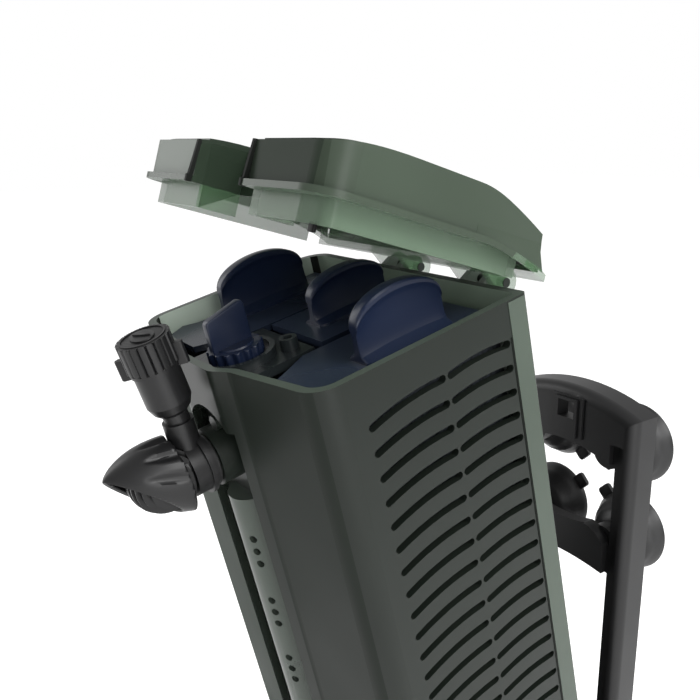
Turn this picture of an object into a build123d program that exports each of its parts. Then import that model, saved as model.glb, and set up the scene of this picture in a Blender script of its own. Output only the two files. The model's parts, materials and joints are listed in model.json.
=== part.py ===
from build123d import *
import os
from math import cos, sin, radians

# Internal power filter for an aquarium, in millimetres.
# World frame: the origin is on the glass, at the middle of the four suction cups. +Z is up,
# +Y points into the glass, -Y is the front of the filter and +X is its right side.
# The filter itself is drawn in a case frame: origin at the middle of the top back edge of the
# case, same axis directions. It stands tilted forward on its bracket, with its lid part open.

# Case
CASE_HALF = 51.5
CASE_CORNER_Y = -70.2
STEP_OUT = (17.5, -74.9)
CROWN = (11.0, -77.9)
FRONT_RADIUS = 8.0
LEFT_BACK_RADIUS = 9.0
RIGHT_BACK_RADIUS = 1.2
WALL = 2.4
SHELL_DEPTH = 300.0
BASE_DEPTH = 308.0

# Front recess and spray column
RECESS_HALF = 13.5
RECESS_Y = -72.6
RECESS_TOP = -19.0
COLUMN_RADIUS = 8.0
COLUMN_Y = -70.0
COLUMN_TOP = -44.0
COLUMN_BOTTOM = -290.0

# Louvres in both sides
ROWS = 34
ROW_PITCH = 7.29
FIRST_ROW = -11.8
LOUVRE_HEIGHT = 2.3
REAR_LOUVRE = (-9.6, -30.4)
FRONT_LOUVRE = (-33.4, -57.0)
FRONT_DROP = 2.7

# Lid, drawn closed in the case frame
LID_HINGE = (15.5, -6.5)
LID_OPEN = 30.5
LID_TOP = 14.6
LID_WALL = 1.5
LID_HALF = 50.9
LID_FRONT = -71.6
SKIRT_BOTTOM = -6.2
NOTCH_HALF = 15.5
NOTCH_Y = -56.0
NOTCH_BOTTOM = 0.3
SKIRT_BACK = -4.4
SKIRT_INSET = 2.6
FLANGE = 1.7
RIM_GAP = 0.3
HINGE_X = 20.0
PIN_RADIUS = 1.5

# Placing the filter in the world
TILT = 13.8
RIM_Y = -104.6
RIM_Z = 95.9
PIVOT = (17.4, -298.0)
CASE_PLACE = Location((0, RIM_Y, RIM_Z), (TILT, 0, 0))
LID_PLACE = (
    CASE_PLACE
    * Location((0, LID_HINGE[0], LID_HINGE[1]), (-LID_OPEN, 0, 0))
    * Location((0, -LID_HINGE[0], -LID_HINGE[1]))
)

# Bracket, in the world frame
CUP_X = 18.75
CUP_Z = 18.75
CUP_RADIUS = 15.9
BRACKET_HALF = 32.6
RAIL_WIDTH = 9.0
RAIL_FRONT = -23.1
RAIL_BACK = -9.6
ARCH_TOP = 42.0
ARCH_CORNER = 35.0
PIVOT_PIN_RADIUS = 3.0
RAIL_RIB = 4.0
SILL = -11.5
SILL_ENDS = -18.5
SHOULDER = 13.6
CLIP_X = 2.0

# Outlet, air valve and nozzle, in the case frame
PORT_Z = -29.0
STEM_Y = -86.1
VALVE_LEAN = 5.0
VALVE_FOOT = -14.0
CAP_RADIUS = 7.4
CAP_KNURLS = 20
WING_TURN = 54.6
DOME_BASE = (-86.5, -30.0)
NECK_Y = -90.9
NOZZLE_PITCH = 20.0
DOME_RADIUS = 11.3
DOME_LENGTH = 25.7
DOME_WALL = 1.5
MOUTH = (-100.2, -34.6)
MOUTH_TURN = 40.5

# Flow dial
DIAL_Y = -63.9
DIAL_RADIUS = 8.0

# Pump, in the case frame
PUMP_Y = -57.0
PUMP_TOP = -198.0

# Cartridges
CARTRIDGE_X = 35.4
CARTRIDGE_FLOOR = -291.0


def block(x0, x1, y0, y1, z0, z1):
    """A box between two corners."""
    centre = ((x0 + x1) / 2, (y0 + y1) / 2, (z0 + z1) / 2)
    return Pos(*centre) * Box(x1 - x0, y1 - y0, z1 - z0)


def upright(x, y, z0, z1, radius):
    """A cylinder along Z."""
    return Pos(x, y, (z0 + z1) / 2) * Cylinder(radius, z1 - z0)


def across(y, z, x0, x1, radius):
    """A cylinder along X."""
    return Pos((x0 + x1) / 2, y, z) * Rot(0, 90, 0) * Cylinder(radius, x1 - x0)


def forward(x, z, y0, y1, radius):
    """A cylinder along Y."""
    return Pos(x, (y0 + y1) / 2, z) * Rot(90, 0, 0) * Cylinder(radius, y1 - y0)


def side_plate(points, x0, x1):
    """A plate cut from a closed outline of (y, z) points."""
    face = Plane.YZ.offset(x0) * make_face(Polyline(*points, close=True))
    return extrude(face, amount=x1 - x0, dir=(1, 0, 0))


def front_plate(outline, y0, y1):
    """A plate between two Y planes, cut from a face drawn in X and Z."""
    face = Plane((0, y0, 0), x_dir=(1, 0, 0), z_dir=(0, -1, 0)) * outline
    return extrude(face, amount=y1 - y0, dir=(0, 1, 0))


def outline(inset):
    """Plan outline of the case, moved inwards by the inset."""
    half = CASE_HALF - inset
    points = [
        (half, -inset),
        (half, CASE_CORNER_Y + inset),
        (STEP_OUT[0], STEP_OUT[1] + inset),
        (CROWN[0], CROWN[1] + inset),
        (-CROWN[0], CROWN[1] + inset),
        (-STEP_OUT[0], STEP_OUT[1] + inset),
        (-half, CASE_CORNER_Y + inset),
        (-half, -inset),
    ]
    corner = FRONT_RADIUS - inset
    radii = [max(RIGHT_BACK_RADIUS - inset, 0.4), corner, 6, 6, 6, 6, corner]
    radii.append(LEFT_BACK_RADIUS - inset)
    return make_face(FilletPolyline(*points, radius=radii, close=True))


def prism(inset, z0, z1):
    """The case outline extruded between two heights."""
    return extrude(Pos(0, 0, z0) * outline(inset), amount=z1 - z0)


def louvre_arcs():
    """The louvre centre lines of one side, as arcs in the YZ plane."""
    arcs = []
    for row in range(ROWS):
        z = FIRST_ROW - row * ROW_PITCH
        rear, front = REAR_LOUVRE
        arcs.append(ThreePointArc((rear, z), ((rear + front) / 2, z + 0.9), (front, z)))
        rear, front = FRONT_LOUVRE
        middle = ((rear + front) / 2, z - FRONT_DROP / 2 + 1.0)
        arcs.append(ThreePointArc((rear, z), middle, (front, z - FRONT_DROP)))
    return arcs


def louvre_cutters():
    """Bars through both sides of the case, one for each louvre."""
    slots = [SlotArc(arc, LOUVRE_HEIGHT) for arc in louvre_arcs()]
    faces = [Plane.YZ.offset(-60) * slot for slot in slots]
    return [extrude(face, amount=120, dir=(1, 0, 0)) for face in faces]


def hinge_knuckle(x):
    """One plate of the lid hinge, standing off the back wall of the case."""
    y, z = LID_HINGE
    points = [(-0.2, -24), (-0.2, -6.3), (5.5, -6.3), (y - 3, z + 3.4), (y, z), (y - 2, z - 3)]
    plate = side_plate(points, x, x + 2.4)
    return plate + across(y, z, x, x + 2.4, 3.6)


def case_shell():
    cavity = prism(WALL, -SHELL_DEPTH - 1, 1)
    cavity -= block(-RECESS_HALF - WALL, RECESS_HALF + WALL, -90, RECESS_Y + WALL, -400, RECESS_TOP + WALL)
    shell = prism(0, -SHELL_DEPTH, 0)
    shell -= block(-RECESS_HALF, RECESS_HALF, -90, RECESS_Y, -400, RECESS_TOP)
    shell -= forward(0, PORT_Z, -90, -60, 5.6)
    shell -= forward(0, RECESS_TOP - 8, -90, RECESS_Y, RECESS_HALF)
    shell -= cavity
    shell -= block(-4.5, 4.5, -80, -60, COLUMN_BOTTOM + 8, COLUMN_TOP - 6)
    for x in (-HINGE_X - 5.2, -HINGE_X + 2.8, HINGE_X - 5.2, HINGE_X + 2.8):
        shell += hinge_knuckle(x)
    for x in (-HINGE_X, HINGE_X):
        shell -= across(*LID_HINGE, x - 12, x + 12, PIN_RADIUS)
    shell -= forward(-30, -30, -5, 5, 4.0)
    return shell - louvre_cutters()


def case_base():
    plate = prism(0, -BASE_DEPTH, -SHELL_DEPTH)
    plate -= block(-RECESS_HALF, RECESS_HALF, -90, RECESS_Y, -400, 0)
    plug = prism(WALL + 0.1, -SHELL_DEPTH, -SHELL_DEPTH + 6)
    plug -= block(-RECESS_HALF - 3, RECESS_HALF + 3, -90, RECESS_Y + WALL + 0.1, -400, 0)
    plug -= prism(WALL + 2.1, -SHELL_DEPTH, 0) - block(-16.5, 16.5, -90, RECESS_Y + WALL + 2.1, -400, 0)
    return plate + plug


def tilt_lugs():
    """Two cheeks behind the foot of the case that turn on the bracket's pivot pins."""
    y, z = PIVOT
    lugs = []
    for x in (-22.9, 14.0):
        lug = block(x, x + 8.9, 0.05, y, z - 7, z + 7) + across(y, z, x, x + 8.9, 7)
        lugs.append(lug - across(y, z, -30, 30, PIVOT_PIN_RADIUS + 0.08))
    return lugs


def rear_duct():
    duct = block(-16, 16, 0, 9, -282, -30)
    duct -= block(-14, 14, -1, 7, -280, -32)
    duct += block(CLIP_X - 2.8, CLIP_X + 2.8, 9, 16, -78.4, -74)
    return duct - upright(0, 3.5, -290, -270, 3.2)


def spray_column():
    column = upright(0, COLUMN_Y, COLUMN_BOTTOM, COLUMN_TOP, COLUMN_RADIUS)
    column -= upright(0, COLUMN_Y, COLUMN_BOTTOM + 2, COLUMN_TOP - 2, COLUMN_RADIUS - 1.6)
    column -= block(-20, 20, RECESS_Y, 0, -400, 0)
    holes = []
    for group in range(10):
        for hole in range(3):
            z = -58 - group * 23 - hole * 4.5
            for turn in (-32, 32):
                bore = Pos(0, -COLUMN_RADIUS, 0) * Rot(90, 0, 0) * Cylinder(1.25, 6)
                holes.append(Pos(0, COLUMN_Y, z) * Rot(0, 0, turn) * bore)
    return column - holes


def outlet_collar():
    collar = forward(0, PORT_Z, -80.5, RECESS_Y, 8.6)
    collar -= forward(0, PORT_Z, -90, -60, 6.2)
    spokes = block(-6.4, 6.4, -78.5, -77, PORT_Z - 0.7, PORT_Z + 0.7)
    spokes += block(-0.7, 0.7, -78.5, -77, PORT_Z - 6.4, PORT_Z + 6.4)
    lug = forward(2.5, PORT_Z + 10.4, -77.5, RECESS_Y, 2.2)
    return collar + spokes + lug


def outlet_seal():
    return Pos(0, -81.0, PORT_Z) * Rot(90, 0, 0) * Torus(7.0, 0.5)


def nozzle_elbow():
    front = -88.4
    body = forward(0, PORT_Z, front, -81.5, 8.2)
    body += forward(0, PORT_Z, -84.2, -82.8, 9.2)
    body -= forward(0, PORT_Z, -95, -80, 5.6)
    stem = upright(0, STEM_Y, PORT_Z + 5, VALVE_FOOT, 4.4)
    stem -= block(-8, 8, -100, front, -60, PORT_Z + 8.0)
    spigot = upright(0, 0, 0, 3.0, 3.6)
    stem += valve_place() * spigot
    return body + stem - upright(0, STEM_Y, PORT_Z + 4.4, 0, 2.0)


def valve_place():
    """Local Z along the air valve, which leans forward from the foot of its stem."""
    return Pos(0, STEM_Y, VALVE_FOOT) * Rot(VALVE_LEAN, 0, 0)


def air_valve_body():
    outer = [(2.6, 3.0), (4.2, 3.0), (5.4, 4.2), (6.4, 6.6), (6.4, 17.0)]
    profile = Polyline(*outer, (4.6, 17.0), (4.6, 21.6), (2.6, 21.6), close=True)
    return valve_place() * revolve(Plane.XZ * make_face(profile), Axis.Z)


def air_valve_cap():
    cap = upright(0, 0, 16.4, 26.0, CAP_RADIUS) - upright(0, 0, 14, 23.2, 4.9) - upright(0, 0, 14, 17.4, 6.6)
    cap += upright(0, 0, 26.0, 26.7, 5.2)
    notches = []
    for step in range(CAP_KNURLS):
        turn = step * 360 / CAP_KNURLS
        notches.append(Rot(0, 0, turn) * Pos(CAP_RADIUS + 0.1, 0, 22.3) * Box(0.9, 0.9, 9))
    cap -= notches
    high_wing = block(CAP_RADIUS - 0.75, CAP_RADIUS + 2.2, -1.1, 1.1, 15.4, 21.8)
    low_wing = block(CAP_RADIUS - 0.75, CAP_RADIUS + 2.0, -1.1, 1.1, 12.4, 18.4)
    wings = Rot(0, 0, WING_TURN) * high_wing + Rot(0, 0, WING_TURN + 180) * low_wing
    return valve_place() * (cap + wings)


def dome_place():
    """Local Z along the nozzle's own axis, which is pitched up from the port axis."""
    return Pos(0, *DOME_BASE) * Rot(90 - NOZZLE_PITCH, 0, 0)


def dome_solid(shrink):
    """The nozzle's ogive, cut off square to the port axis at its neck."""
    r = DOME_RADIUS - shrink
    tip = DOME_LENGTH - shrink
    side = Spline((r, 0), (r - 0.5, 8.0), (r - 3.5, 17.0), (0, tip), tangents=[(0.05, 1), (-1, 0.6)])
    rim = Polyline((0, tip), (0, -4), (r, -4), (r, 0))
    body = dome_place() * revolve(Plane.XZ * make_face(Curve() + [side, rim]), Axis.Z)
    return body - block(-30, 30, NECK_Y - shrink, -60, -60, 20)


def mouth_place():
    """The plane of the nozzle's mouth, facing forwards and down."""
    return Pos(0, *MOUTH) * Rot(MOUTH_TURN, 0, 0)


def nozzle_dome():
    outer = dome_solid(0) + forward(0, PORT_Z, NECK_Y - 1, -88.7, 7.6)
    inner = dome_solid(DOME_WALL) + forward(0, PORT_Z, NECK_Y - 4, -88, 5.6)
    mouth = mouth_place() * block(-30, 30, -30, 0, -30, 30)
    flutes = []
    for turn in (-52, -18, 18, 52):
        groove = Pos(0, -DOME_RADIUS - 2.4, 9.5) * Rot(14, 0, 0) * Cylinder(3.2, 9)
        flutes.append(dome_place() * Rot(0, 0, 180 + turn) * groove)
    return outer - inner - mouth - flutes


def nozzle_grille():
    plate = mouth_place() * block(-20, 20, 1.6, 3.0, -30, 30)
    plate = plate & dome_solid(DOME_WALL)
    slots = []
    for step in range(7):
        x = -7.4 + 2.1 * step
        slots.append(mouth_place() * block(x, x + 1.2, 0, 4, -4.4, 4.4))
    return plate - slots


def lid_profile():
    """Side view of the closed lid's outer surface, in (y, z)."""
    front = Spline((-72, 12.2), (-62, 13.9), (-46, LID_TOP), tangents=[(1, 0.25), (1, 0)])
    top = Line((-46, LID_TOP), (-26, LID_TOP))
    rear = Spline((-26, LID_TOP), (-13, 12.2), (0.4, 7.2), tangents=[(1, 0), (1, -0.42)])
    back = Polyline((0.4, 7.2), (2.2, -4.0), (2.2, -40), (-74, -40), (-73.3, 0), (-72, 12.2))
    return make_face(Curve() + [front, top, rear, back])


def lid_outline(inset):
    """Plan outline of the lid: a rounded rectangle, a little shorter than the case."""
    half = LID_HALF - inset
    points = [(half, 4 - inset), (half, LID_FRONT + inset), (-half, LID_FRONT + inset), (-half, 4 - inset)]
    corner = 8.0 - inset
    return make_face(FilletPolyline(*points, radius=[1.0, corner, corner, 1.0], close=True))


def rim_band():
    """The flange line round the lid: level on the rim, curving down behind the case."""
    top = RIM_GAP + 1.7
    bend = [(1, 0), (1, -0.5)]
    upper = [Line((-95, top), (-24, top)), Spline((-24, top), (-8, top - 2.0), (3.6, -3.2), tangents=bend)]
    lower = [Line((-95, RIM_GAP), (-24, RIM_GAP))]
    lower.append(Spline((-24, RIM_GAP), (-8, -1.8), (3.6, -5.2), tangents=bend))
    ends = [Line((-95, top), (-95, RIM_GAP)), Line((3.6, -3.2), (3.6, -5.2))]
    face = make_face(Curve() + upper + lower + ends)
    return extrude(Plane.YZ.offset(-70) * face, amount=140, dir=(1, 0, 0))


def lid_solid(inset, top_drop):
    """The closed lid's dome as a solid, moved inwards by the inset."""
    body = extrude(Plane.YZ.offset(-60) * lid_profile(), amount=120, dir=(1, 0, 0))
    outer = extrude(Pos(0, 0, -20) * lid_outline(inset), amount=60)
    return (Pos(0, -inset, -top_drop) * body) & outer


def lid_shell():
    dome = lid_solid(0, 0) - block(-80, 80, -100, 20, -60, RIM_GAP)
    flange = rim_band() & extrude(Pos(0, 0, -20) * lid_outline(-FLANGE), amount=60)
    flange -= prism(-0.45, -60, RIM_GAP)
    skirt_outline = lid_solid(SKIRT_INSET, 0) - block(-80, 80, SKIRT_BACK, 40, -60, 60)
    # Clearance for the rounded rear left corner of the case as the lid swings.
    skirt_outline -= block(-80, -44.5, -9.5, 40, -60, RIM_GAP)
    skirt = skirt_outline & prism(WALL + 0.4, SKIRT_BOTTOM, 40)
    shell = dome + flange + skirt + lid_arms()
    inside = lid_solid(SKIRT_INSET + LID_WALL, LID_WALL) & prism(WALL + 0.4 + LID_WALL, -60, 40)
    inside -= block(-80, 80, SKIRT_BACK - LID_WALL, 40, -60, 60)
    side = NOTCH_HALF + LID_WALL
    pocket = block(-side, side, -95, NOTCH_Y + LID_WALL, NOTCH_BOTTOM, 40)
    pocket += block(-side, side, -95, NOTCH_Y, SKIRT_BOTTOM, 40)
    notch = block(-NOTCH_HALF, NOTCH_HALF, -95, NOTCH_Y, -20, 40)
    return shell - (inside - pocket) - notch


def lid_arms():
    """Four arms from the back of the lid down to its hinge pins."""
    y, z = LID_HINGE
    points = [(1.0, -3.4), (-0.2, 6.4), (y - 1, z + 4.4), (y + 1, z - 2), (y - 2, z - 3.4), (6, -5.2)]
    arms = []
    for centre in (-HINGE_X, HINGE_X):
        for x in (centre - 8.2, centre + 5.8):
            plate = side_plate(points, x, x + 2.4) + across(y, z, x, x + 2.4, 4.4)
            arms.append(plate - across(y, z, x - 1, x + 4, PIN_RADIUS + 0.05))
    return arms


def hinge_pin(centre):
    return across(*LID_HINGE, centre - 8.4, centre + 8.4, PIN_RADIUS)


def fin(x, y0, y1, base, ridge, top):
    """A finger handle: a half-oval blade with a lipped crown on a tapered foot."""
    length = y1 - y0
    middle = (y0 + y1) / 2
    shoulder = ridge + 0.52 * (top - ridge)
    crown = ThreePointArc((y0, shoulder), (middle, top), (y1, shoulder))
    sides = Polyline((y1, shoulder), (y1 - 0.8, ridge), (y0 + 0.8, ridge), (y0, shoulder))
    blade_face = make_face(Curve() + [crown, sides])
    blade = extrude(Plane.YZ.offset(x - 1.4) * blade_face, amount=2.8, dir=(1, 0, 0))
    lip = extrude(Plane.YZ.offset(x - 2.6) * blade_face, amount=5.2, dir=(1, 0, 0))
    hollow = extrude(Plane.YZ.offset(x - 4) * (Pos(0, -2.6) * blade_face), amount=8, dir=(1, 0, 0))
    foot = loft([
        Pos(x, middle, base) * Rectangle(11, length + 1),
        Pos(x, middle, ridge) * Rectangle(6, length - 1.2),
    ])
    return blade + (lip - hollow) + foot


def foam_frame(side):
    """The top plate of one side cartridge, drawn for the right and mirrored for the left."""
    points = [
        (16, -6.4), (45.5, -6.4), (45.5, -13), (41, -15), (41, -30), (43.5, -33), (43.5, -55), (46.0, -60),
        (42, -66.4), (24, -66.8), (20.5, -60), (16, -52),
    ]
    top = extrude(Pos(0, 0, -7.2) * make_face(Polyline(*points, close=True)), amount=2.0)
    return top if side > 0 else mirror(top, about=Plane.YZ)


def foam_cage(side):
    """The windowed inner wall and the foot that hold the foam under its frame."""
    cage = block(20.6, 22.4, -60, -6.4, CARTRIDGE_FLOOR, -7.2)
    windows = []
    for step in range(9):
        z = -18 - step * 30
        windows.append(block(20, 23, -56, -10, z - 24, z))
    cage -= windows
    cage += block(20.6, 46, -60, -6.4, CARTRIDGE_FLOOR, CARTRIDGE_FLOOR + 2)
    return cage if side > 0 else mirror(cage, about=Plane.YZ)


def foam_pad(side):
    pad = block(22.6, 46, -64, -6, CARTRIDGE_FLOOR + 2.3, -7.5)
    pad = fillet(pad.edges().filter_by(Axis.Z), 3)
    return pad if side > 0 else mirror(pad, about=Plane.YZ)


def media_basket():
    plate = block(-14, 14, -44, -6.4, -6.8, -4.8)
    tray = block(-15, 15, -42, -6.4, CARTRIDGE_FLOOR, -6.8)
    tray -= block(-13.6, 13.6, -40.6, -7.8, CARTRIDGE_FLOOR + 1.6, -30)
    slots = []
    for step in range(22):
        z = -40 - step * 11
        slots.append(block(-20, 20, -36, -11, z - 4, z))
    tray -= slots
    tray -= block(-13.6, 13.6, -40.6, -7.8, -28.4, -8.2)
    return plate + tray


def ceramic_media():
    rings = []
    for level in range(11):
        z = -286 + level * 11.5
        for x in (-6.6, 6.6):
            for y in (-33, -15):
                rings.append(upright(x, y, z, z + 10.5, 5.6) - upright(x, y, z, z + 10.5, 2.4))
    return rings


def carbon_pouch():
    pouch = block(-12.6, 12.6, -39.4, -9.0, -158, -32)
    return fillet(pouch.edges(), 3)


def flow_dial():
    disc = upright(0, DIAL_Y, -4.2, -0.3, DIAL_RADIUS - 0.4)
    lobes = []
    for step in range(16):
        turn = radians(step * 22.5)
        lobes.append(upright(7.0 * cos(turn), DIAL_Y + 7.0 * sin(turn), -4.2, -0.3, 1.25))
    blade = block(-1.5, 1.5, DIAL_Y - 7.2, DIAL_Y + 5.6, -0.3, 11.6)
    spindle = upright(0, DIAL_Y, -13.0, -4.2, 3.0)
    return disc + lobes + blade + spindle


def diverter_drum():
    drum = upright(0, DIAL_Y, -37.0, -13.0, 4.8)
    drum -= upright(0, DIAL_Y, -40, -15.0, 3.4)
    return drum - forward(0, PORT_Z, -80, DIAL_Y, 3.2)


def cover_plate():
    half_outline = [(14.5, -47), (15.0, -53), (15.0, -72.2), (10, -73.4)]
    points = half_outline + [(-x, y) for x, y in reversed(half_outline)]
    plate = extrude(Pos(0, 0, -7.6) * make_face(Polyline(*points, close=True)), amount=2.6)
    ring = upright(0, DIAL_Y, -5.0, -2.6, 11.2) - upright(0, DIAL_Y, -5.0, -2.6, 9.6)
    ring -= block(-20, -2, DIAL_Y - 20, DIAL_Y - 2, -10, 0)
    boss = upright(8.6, -51.4, -5.0, -1.4, 2.6) - upright(8.6, -51.4, -4, 0, 1.4)
    plate += ring + boss
    return plate - upright(0, DIAL_Y, -20, -4.9, 3.2) - upright(0, DIAL_Y, -4.9, 0, 8.9)


def flow_body():
    """The housing under the dial that leads water up to the outlet or into the spray column."""
    body = upright(0, DIAL_Y, -40, -7.8, 6.2)
    body += block(-4.4, 4.4, RECESS_Y + WALL + 0.1, DIAL_Y, -40, PORT_Z + 6)
    body += upright(0, PUMP_Y, PUMP_TOP + 0.2, -40, 6.2)
    body -= upright(0, DIAL_Y, -38, -10, 4.87)
    body -= upright(0, DIAL_Y, -11, -7, 3.1)
    body -= forward(0, PORT_Z, -80, DIAL_Y, 3.2)
    return body - upright(0, PUMP_Y, PUMP_TOP, -36, 4.4)


def pump_chamber():
    chamber = upright(0, PUMP_Y, -216, PUMP_TOP, 12.4)
    chamber += upright(0, PUMP_Y, PUMP_TOP, PUMP_TOP + 3.8, 8.2)
    chamber -= upright(0, PUMP_Y, -216, PUMP_TOP - 2, 10.8)
    chamber -= upright(0, PUMP_Y, PUMP_TOP - 3, 0, 6.3)
    for turn in range(0, 360, 45):
        slot = Pos(0, PUMP_Y, -214) * Rot(0, 0, turn) * block(9, 14, -1.6, 1.6, -3, 3)
        chamber -= slot
    rib = block(-10.9, 10.9, PUMP_Y - 1, PUMP_Y + 1, PUMP_TOP - 2, PUMP_TOP - 0.5)
    rib += upright(0, PUMP_Y, PUMP_TOP - 4, PUMP_TOP - 0.5, 2.4)
    return chamber + (rib - upright(0, PUMP_Y, PUMP_TOP - 5, PUMP_TOP - 2, 1.5))


def motor_housing():
    body = block(-14.6, 14.6, -69.6, -44.4, -290, -219)
    body = fillet(body.edges().filter_by(Axis.Z), 4)
    body += upright(0, PUMP_Y, -219, -216, 12.4)
    body -= upright(0, PUMP_Y, -258, -216, 6.9)
    return body - upright(0, PUMP_Y, -262, -258, 1.0)


def motor_seal():
    return Pos(0, PUMP_Y, -217.2) * (Cylinder(13.4, 1.2) - Cylinder(12.5, 1.2))


def impeller_shaft():
    return upright(0, PUMP_Y, -262, PUMP_TOP - 2, 1.0)


def shaft_bush(z):
    ring = upright(0, PUMP_Y, z, z + 2, 1.5) - upright(0, PUMP_Y, z, z + 2, 1.0)
    return ring


def rotor_magnet():
    return upright(0, PUMP_Y, -255, -221, 6.4) - upright(0, PUMP_Y, -256, -220, 2.0)


def impeller():
    hub = upright(0, PUMP_Y, -255, -221, 2.0)
    hub += upright(0, PUMP_Y, -221, -204.5, 2.6)
    hub += upright(0, PUMP_Y, -219.8, -218.4, 6.0)
    for step in range(6):
        blade = Pos(0, PUMP_Y, -210.5) * Rot(0, 0, step * 60) * block(1.6, 9.6, -0.6, 0.6, -4.5, 4.5)
        hub += blade
    return hub - upright(0, PUMP_Y, -256, -200, 1.06)


def cable_gland():
    gland = forward(-30, -30, -4.6, 5.0, 3.95)
    gland += forward(-30, -30, 0, 2.4, 6.0)
    return gland - forward(-30, -30, -6, 6, 2.4)


def bracket_outline(half, top, corner, bottom):
    """Front view of the bracket: straight sides under a shallow arch."""
    arch = ThreePointArc((-half, corner), (0, top), (half, corner))
    sides = Polyline((half, corner), (half, bottom), (-half, bottom), (-half, corner))
    return make_face(Curve() + [arch, sides])


def upper_window(half, drop):
    """The window between the cups. Its sill is nearly level and falls away beside each rail."""
    level = SILL - drop
    ends = SILL_ENDS - drop
    arch = ThreePointArc((-half, 15.0), (0, 20.0), (half, 15.0))
    sill = [ThreePointArc((SHOULDER, level), (0, level - 1.5), (-SHOULDER, level))]
    for side in (-1, 1):
        x = side * half
        sill.append(ThreePointArc((x, ends), (side * (half - 3.6), level - 2.6), (side * SHOULDER, level)))
        sill.append(Line((x, 15.0), (x, ends)))
    return make_face(Curve() + [arch] + sill)


def shoulder_ribs(half):
    """A thin raised rib along the falling ends of the window's sill."""
    band = front_plate(upper_window(half, 1.3) - upper_window(half, 0), RAIL_FRONT - 0.9, RAIL_FRONT + 0.4)
    return band - block(-SHOULDER, SHOULDER, -40, 0, -40, 0)


def bracket_frame():
    inner = BRACKET_HALF - RAIL_WIDTH
    frame = front_plate(bracket_outline(BRACKET_HALF, ARCH_TOP, ARCH_CORNER, -208), RAIL_FRONT, RAIL_BACK)
    frame = fillet(frame.edges().group_by(Axis.Y)[0], 4.4)
    frame -= front_plate(upper_window(inner, 0), -40, 0)
    frame -= front_plate(bracket_outline(inner, -27.6, -30.0, -201), -40, 0)
    shell = bracket_outline(BRACKET_HALF - 2.4, ARCH_TOP - 2.4, ARCH_CORNER - 2.4, -220)
    frame -= front_plate(shell, RAIL_FRONT + 4.8, RAIL_BACK + 1) - block(-60, 60, -40, 0, -260, -180)
    frame += shoulder_ribs(inner)
    for side in (-1, 1):
        x0, x1 = sorted((side * (inner - 1), side * (BRACKET_HALF - RAIL_RIB)))
        frame -= block(x0, x1, RAIL_FRONT - 1, RAIL_FRONT + 2.4, -200, 24)
    for x in (-CUP_X, CUP_X):
        for z in (-CUP_Z, CUP_Z):
            frame += forward(x, z, RAIL_FRONT + 4.0, -12.4, 6.6)
            frame -= forward(x, z, RAIL_FRONT + 7.8, -5, 3.55)
    frame += block(CLIP_X - 7.5, CLIP_X + 7.5, RAIL_FRONT - 0.8, RAIL_FRONT + 4.8, 22, 38.5)
    frame += block(CLIP_X - 5.2, CLIP_X + 5.2, RAIL_FRONT - 1.6, RAIL_FRONT, 22, 37.6)
    frame -= block(CLIP_X - 3.9, CLIP_X + 3.9, -40, -5, 29.6, 36.4)
    y, z = pivot_world()
    frame -= across(y, z, -40, 40, PIVOT_PIN_RADIUS)
    return frame


def pivot_world():
    """The tilt pivot in world (y, z)."""
    lean = radians(TILT)
    y = RIM_Y + PIVOT[0] * cos(lean) - PIVOT[1] * sin(lean)
    z = RIM_Z + PIVOT[0] * sin(lean) + PIVOT[1] * cos(lean)
    return y, z


def pivot_pin(side):
    y, z = pivot_world()
    x0, x1 = sorted((side * 15.0, side * BRACKET_HALF))
    return across(y, z, x0, x1, PIVOT_PIN_RADIUS)


def suction_cup(x, z):
    """A cup with its lip on the glass, a neck through the bracket and a pull tab to the middle."""
    profile = Polyline(
        (0, -15.2), (3.0, -15.2), (3.5, -14.6), (3.5, -12.4), (6.2, -12.2), (9.0, -9.0),
        (13.0, -4.0), (CUP_RADIUS, -0.9), (CUP_RADIUS, 0.0), (13.8, 0.0), (8.0, -3.4), (0, -4.6), close=True
    )
    cup = revolve(Plane.XY * make_face(profile), Axis.Y)
    reach = (CUP_RADIUS + 1.4) * sin(radians(45))
    inward = -reach if x > 0 else reach
    down = -reach if z > 0 else reach
    tab = Pos(inward, -0.9, down) * Rot(0, 45, 0) * Box(6.0, 1.6, 6.0)
    return Pos(x, 0, z) * (cup + tab)


def placed(shape, place):
    """A shape, or a group of separate solids, moved to its place."""
    if isinstance(shape, list):
        return Compound(children=[place * solid for solid in shape])
    return place * shape


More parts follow.
